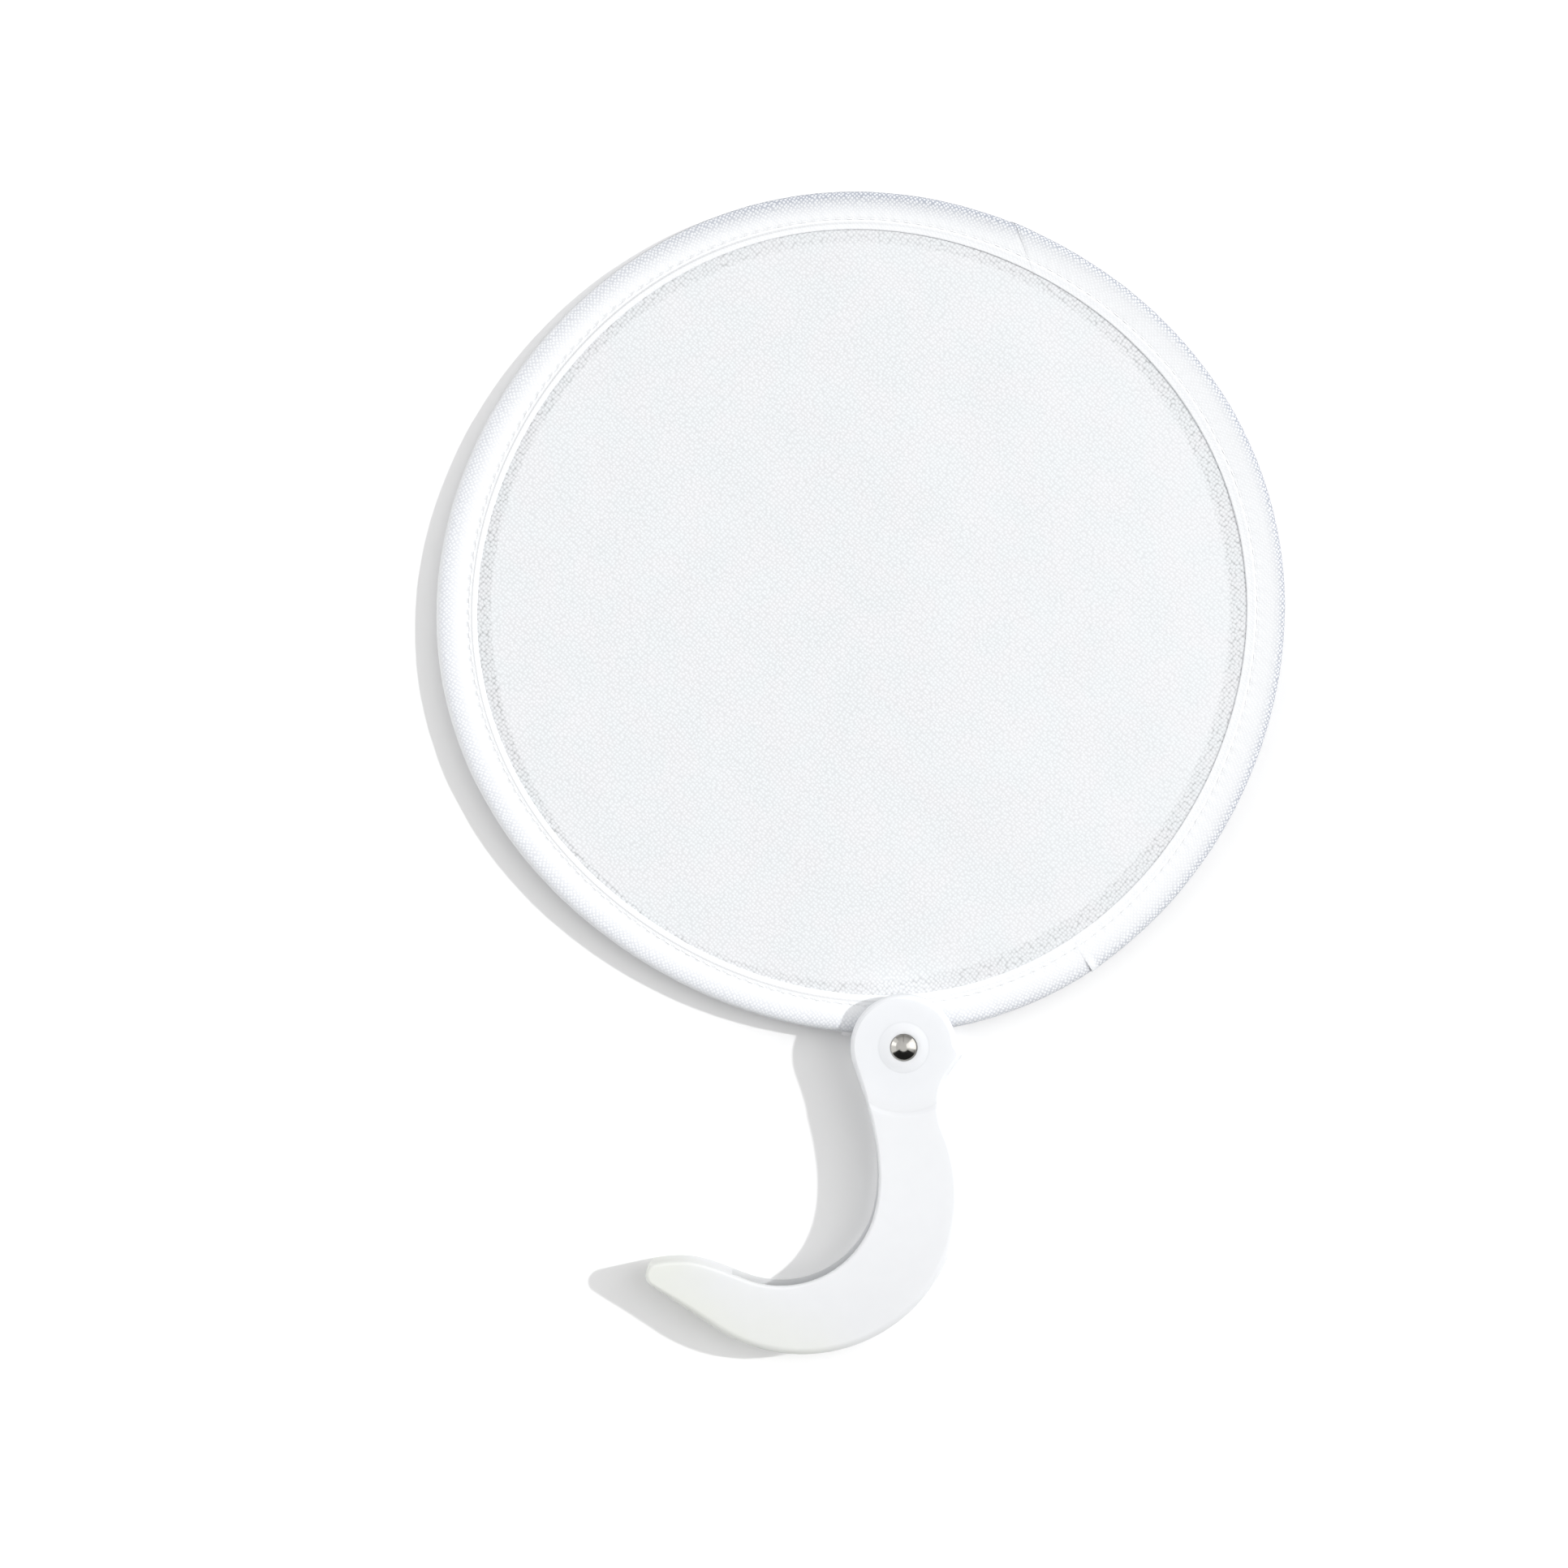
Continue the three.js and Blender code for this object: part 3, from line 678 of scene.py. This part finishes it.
throat = (on_circle(boss, throat_start), throat_start + 90, throat_pull)
bend = (on_circle(grip_inner, bend_start), bend_start - 90, bend_pull)
palm = (on_circle(grip_inner, bend_end), bend_end - 90, palm_pull)
tip = (on_circle(hook_tip, tip_start), tip_start + 90, tip_pull)
outline = [
    on_circle(boss, lug_angle, lug_stand),
    *arc(boss, lug_foot, throat_start),
    *soft_curve(*throat, *bend),
    *arc(grip_inner, bend_start, bend_end),
    *soft_curve(*palm, *tip),
    *arc(hook_tip, tip_start, hook_back + 360),
    *[tip_end.lerp(back_start, i / back_steps) for i in range(1, back_steps)],
    *arc(grip_outer, hook_back, waist_low - 180),
    *arc(waist, waist_low, waist_top)[1:],
]
channel_line = [
    *arc(waist, waist_top, waist_low, web_wall),
    *arc(grip_outer, waist_low - 180, channel_end, -web_wall)[1:],
    on_circle(grip_inner, channel_turn),
    Vector((grip_inner[0], grip_inner[1], 0)),
    Vector((grip_inner[0], 3 * boss[2], 0)),
    on_circle(waist, waist_top, web_wall) + 3 * boss[2] * step_in(waist_top - 90),
]


def slab(name, points, half):
    """A flat plate over an outline in millimetres, half above the middle plane and half below."""
    piece = drawn(name, [Vector((p.x * mm, p.y * mm, -half)) for p in points], closed=True)
    bpy.ops.mesh.extrude_region_move(TRANSFORM_OT_translate={"value": (0, 0, 2 * half)})
    return tidied(piece)


def turned(name, profile, steps=96):
    """A form turned about the rivet's axis from (radius, height) pairs in millimetres."""
    piece = drawn(name, [Vector((r * mm, 0, z * mm)) for r, z in profile])
    bpy.ops.mesh.spin(steps=steps, angle=2 * math.pi, center=(0, 0, 0), axis=(0, 0, 1))
    return tidied(piece)


def drum(name, radius, low, high):
    """A plain drum about the rivet's axis, to cut with."""
    return turned(name, ((0, low), (radius, low), (radius, high), (0, high)))


def combined(piece, other, operation):
    """Joins, cuts or crosses a piece with another, which is used up."""
    worked(piece, "BOOLEAN", object=other, operation=operation, solver="EXACT")
    bpy.data.objects.remove(other)


def choose_faces(piece, wanted):
    """Opens a piece in edit mode with only those faces selected that the test picks."""
    pick(piece)
    bpy.ops.object.mode_set(mode="EDIT")
    bpy.ops.mesh.select_mode(type="FACE")
    bpy.ops.mesh.select_all(action="DESELECT")
    bpy.ops.object.mode_set(mode="OBJECT")
    for face in piece.data.polygons:
        face.select = wanted(face)
    bpy.ops.object.mode_set(mode="EDIT")


def rim_width(point):
    """How far the moulding's edge is rounded at a point of its outline."""
    from_rivet = point.length
    if from_rivet < boss_zone:
        return lug_round if point.x > 0 else boss_round
    if (point - tip_middle).length < tip_zone:
        return tip_round
    from_grip = (point - Vector((grip_outer[0], grip_outer[1], 0))).length
    if from_grip > grip_outer[2] - 1 or (point - waist_middle).length < waist_radius + 1:
        return np.interp(from_rivet, back_widens, back_rounds)
    return palm_round


def step_height(from_rivet):
    """The grip's face rises above the boss in a soft step round it."""
    part = min(1, max(0, (from_rivet - step_start) / step_width))
    return boss_sink * part * part * (3 - 2 * part)


def rounded_slab(name, half):
    """A plate over the handle's outline whose edges are rounded, more outside the bend than inside."""
    plate = slab(name, outline, half)
    for side in (1, -1):
        choose_faces(plate, lambda face: face.normal.z * side > 0.9)
        for _ in range(round_steps):
            bpy.ops.mesh.extrude_region_move(TRANSFORM_OT_translate={"value": (0, 0, side * ring_lift)})
        bpy.ops.mesh.select_mode(type="VERT")
        bpy.ops.object.mode_set(mode="OBJECT")

    # The way inward from each point of the outline, and how wide the edge is rounded there
    line = np.array([(point.x, point.y) for point in outline]) * mm
    ahead = np.roll(line, -1, axis=0) - line
    ahead /= np.linalg.norm(ahead, axis=1)[:, None]
    behind = np.roll(ahead, 1, axis=0)
    bisector = np.stack([-(ahead + behind)[:, 1], (ahead + behind)[:, 0]], axis=1)
    inward = bisector * (2 / (bisector**2).sum(axis=1))[:, None]
    sink = np.array([boss_sink - step_height(point.length) for point in outline]) * mm
    width = np.array([rim_width(point) for point in outline]) * mm
    for _ in range(round_blends):
        width = (np.roll(width, 1) + 2 * width + np.roll(width, -1)) / 4

    # Each new ring goes to its place on the quarter round
    places = corners_of(plate)
    nearest = np.hypot(places[:, 0, None] - line[:, 0], places[:, 1, None] - line[:, 1]).argmin(axis=1)
    ring = np.round((np.abs(places[:, 2]) - half) / ring_lift)
    turn = ring / round_steps * math.pi / 2
    wide = width[nearest]
    lowered = np.where(ring < round_steps, sink[nearest], 0)
    places[:, :2] = line[nearest] + inward[nearest] * (wide * (1 - np.cos(turn)))[:, None]
    places[:, 2] = np.sign(places[:, 2]) * (half - wide * (1 - np.sin(turn)) - lowered)
    move_corners(plate, places)
    return plate


# Round the boss both faces are cut down to its height, then the channel and the clevis are cut
handle = rounded_slab("handle_moulding", handle_half * mm)
boss_top = handle_half - boss_sink
ramp = [step_start + step_width * i / ramp_steps for i in range(ramp_steps + 1)]
ramp = [(r, boss_top + ramp_rise * step_height(r)) for r in ramp]
step_profile = ((0, boss_top), *ramp, (step_start + step_width, beyond), (0, beyond))
for side in (1, -1):
    combined(handle, turned("step_cutter", [(r, side * z) for r, z in step_profile]), "DIFFERENCE")

channel = slab("channel_cutter", channel_line, channel_half * mm)
for side in (1, -1):
    cheek = drum("cheek_cutter", clevis_radius, side * clevis_half, side * beyond)
    combined(channel, cheek, "DIFFERENCE")
combined(handle, channel, "DIFFERENCE")

# Each cheek gets its spacer and raised pad, and a seat sunk in it for cap or stud
pad = (
    (0, spacer_half), (spacer_radius, spacer_half), (spacer_radius, pad_foot), (pad_radius, pad_foot),
    *pad_slope, (0, pad_slope[-1][1]),
)
for side, seat in ((1, cap_seat), (-1, stud_seat)):
    combined(handle, turned("pad", [(r, side * z) for r, z in pad]), "UNION")
    combined(handle, drum("seat_cutter", seat, side * seat_floor, side * beyond), "DIFFERENCE")
combined(handle, drum("socket_cutter", socket_radius, socket_floor, beyond), "DIFFERENCE")
combined(handle, drum("bore_cutter", bore_radius, -beyond, beyond), "DIFFERENCE")
pick(handle)
bpy.ops.object.mode_set(mode="EDIT")
tidied(handle)
smoothed(handle, 32)
worked(handle, "WEIGHTED_NORMAL", keep_sharp=True, weight=80)
handle.data.transform(Matrix.Translation(rivet))

# The plastic turns a little greyer down the grip and yellower towards the tip of the hook
satin, resin = new_finish("satin_plastic")
spot = resin.node("TexCoord", None, None, "Object")
from_rivet = resin.node("VectorMath", {"operation": "DISTANCE"}, {0: spot, 1: rivet}, "Value")
mottle = resin.node("TexNoise", None, {"Vector": spot, "Scale": 210.0, "Detail": 4.0})
haze = resin.node("TexNoise", None, {"Vector": spot, "Scale": 45.0, "Detail": 2.0})
skin = resin.node("TexNoise", None, {"Vector": spot, "Scale": 1400.0, "Detail": 2.0})
boss_white = (0.885, 0.899, 0.923, 1)
grip_grey = (0.835, 0.845, 0.862, 1)
yellowish = (0.818, 0.833, 0.79, 1)
tipward = from_rivet.between(38 * mm, 86 * mm)
white = resin.node("Mix", {"data_type": "RGBA"}, {"Factor": tipward, "A": boss_white, "B": grip_grey}, "Result")
tipward = (from_rivet + 0.02 * (haze - 0.5)).between(80 * mm, 99 * mm)
white = resin.node("Mix", {"data_type": "RGBA"}, {"Factor": tipward, "A": white, "B": yellowish}, "Result")

# Painted shade darkens its rounded edges, the foot of the step and the foot of the pad
step_shade = from_rivet.between(19.8 * mm, 20.4 * mm) * from_rivet.between(21.2 * mm, 22.1 * mm, 1.0, 0.0)
pad_shade = from_rivet.between(10.1 * mm, 10.25 * mm) * from_rivet.between(10.4 * mm, 10.6 * mm, 1.0, 0.0)
rounded = resin.node("TexCoord", None, None, "Normal")
rounded = abs(resin.node("SeparateXYZ", None, {0: rounded}, 2)).between(0.55, 0.98, 1.0, 0.0)
tone = 0.968 + 0.032 * from_rivet.between(9 * mm, 26 * mm) + 0.03 * (mottle - 0.5) + 0.02 * (haze - 0.5)
tone = tone - 0.045 * step_shade - 0.04 * pad_shade - 0.06 * rounded
white = resin.node("VectorMath", {"operation": "SCALE"}, {0: white, "Scale": tone})
rough = 0.42 + 0.12 * (mottle - 0.5) + 0.08 * (haze - 0.5)
bump = resin.node("Bump", None, {"Height": skin, "Distance": 0.02 * mm, "Strength": 0.35})
depth = {"Subsurface Weight": 0.5, "Subsurface Radius": (1, 1, 1), "Subsurface Scale": 2.5 * mm}
surface = {"Base Color": white, "Roughness": rough, "Specular IOR Level": 0.45, "Normal": bump, **depth}
resin.plug(satin.node_tree.nodes["Principled BSDF"], surface)
handle.data.materials.append(satin)
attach(handle, "handle")
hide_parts("handle")


# Rivet: two pieces of nickel-plated steel. A domed cap with a short socket is pressed on in front,
# over the post of a flat-headed stud that comes from the rear through both cheeks and the clip.
dome_middle, dome_radius, hollow_radius = 2.75, 5.95, 5.55
dome_half, hollow_half = 3.85, 3.3
dome = [(dome_radius, a) for a in np.linspace(math.asin(dome_half / dome_radius), 0, 13)]
hollow = [(hollow_radius, a) for a in np.linspace(0, math.asin(hollow_half / hollow_radius), 9)]
cap_profile = [
    *[(radius * math.sin(a), dome_middle + radius * math.cos(a)) for radius, a in hollow],
    (hollow_half, 7.12), (1.7, 7.12), (1.7, 5.1), (2.2, 5.1), (2.2, 6.9),
    (3.7, 6.9), (3.88, 6.96), (3.95, 7.07), (3.95, 7.16), (3.92, 7.23),
    *[(radius * math.sin(a), dome_middle + radius * math.cos(a)) for radius, a in dome],
]
stud_profile = [
    (0, -7.4), (3.7, -7.4), (3.9, -7.36), (4.04, -7.25), (4.1, -7.1), (4.1, -6.9),
    (1.55, -6.9), (1.4, -6.75), (1.4, 6.9), (0, 6.9),
]
plated, plate = new_finish("nickel_plate")
spot = plate.node("TexCoord", None, None, "Object")
scratch = {"Vector": spot, "Scale": 2600.0, "Detail": 3.0, "Distortion": 3.0}
scratch = plate.node("TexNoise", None, scratch)
smear = plate.node("TexNoise", None, {"Vector": spot, "Scale": 500.0, "Detail": 2.0})
nickel = {0: (0.54, 0.525, 0.495), "Scale": 0.94 + 0.12 * smear}
nickel = plate.node("VectorMath", {"operation": "SCALE"}, nickel)
rough = 0.12 + 0.1 * (scratch - 0.5) + 0.05 * smear
surface = {"Base Color": nickel, "Metallic": 1.0, "Roughness": rough}
plate.plug(plated.node_tree.nodes["Principled BSDF"], surface)
for name, profile, node in (
    ("rivet_dome", cap_profile, "rivet_cap"),
    ("rivet_post", stud_profile, "rivet_stud"),
):
    piece = turned(name, profile)
    smoothed(piece, 35)
    piece.data.transform(Matrix.Translation(rivet))
    piece.data.materials.append(plated)
    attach(piece, "handle")
    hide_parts(node)
